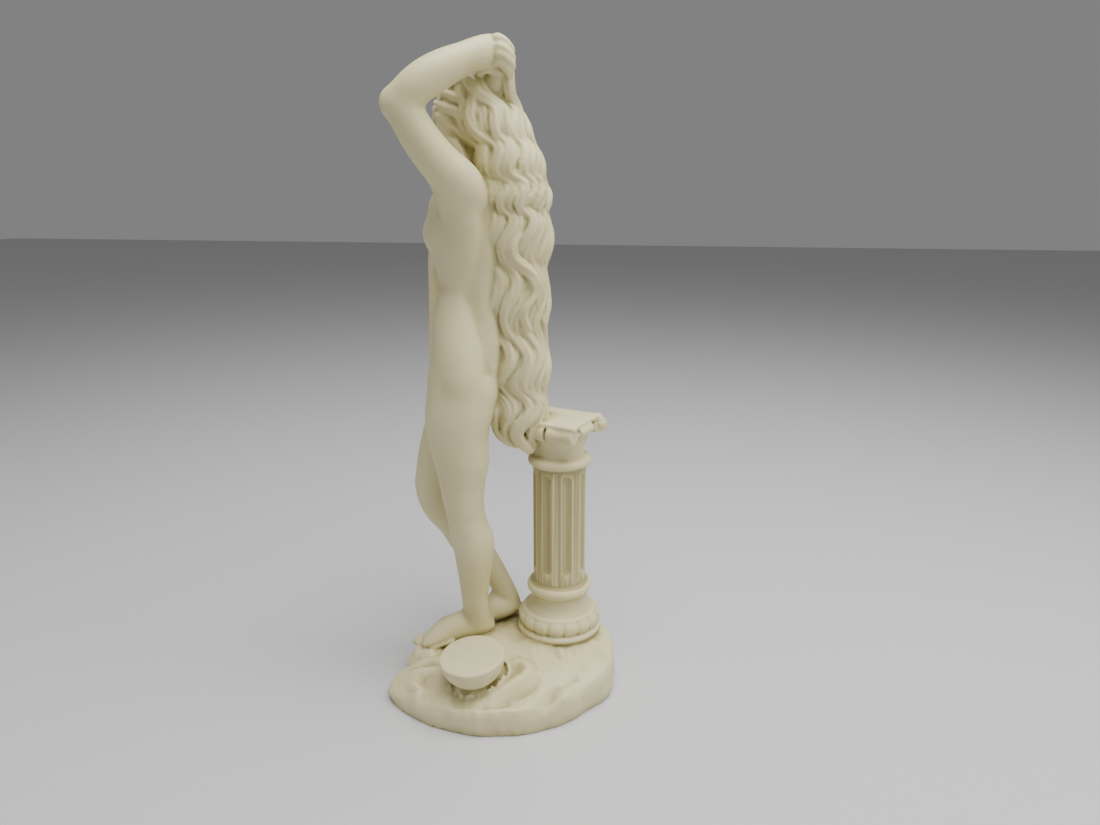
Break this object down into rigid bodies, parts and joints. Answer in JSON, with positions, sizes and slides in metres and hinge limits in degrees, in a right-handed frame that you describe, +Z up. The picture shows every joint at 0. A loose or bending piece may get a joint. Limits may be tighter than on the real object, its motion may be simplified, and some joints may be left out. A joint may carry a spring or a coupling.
{
  "type": "aphrodite statue",
  "caption": "Cast resin figurine of a standing bathing goddess with long wavy hair, beside a short fluted column and a bowl, on a rock base.",
  "frame": {"origin": "centre of the rock base's flat underside", "axes": "+Z up; -Y is the way the figure faces; +X is the figure's left, the side with the raised arm and the bowl"},
  "size_m": [0.0862, 0.0974, 0.2715],
  "materials": {
    "cast_marble": "ivory marble resin, satin, slightly translucent"
  },
  "bodies": {
    "root": {"aphrodite_statue": "cast_marble"}
  },
  "joints": []
}
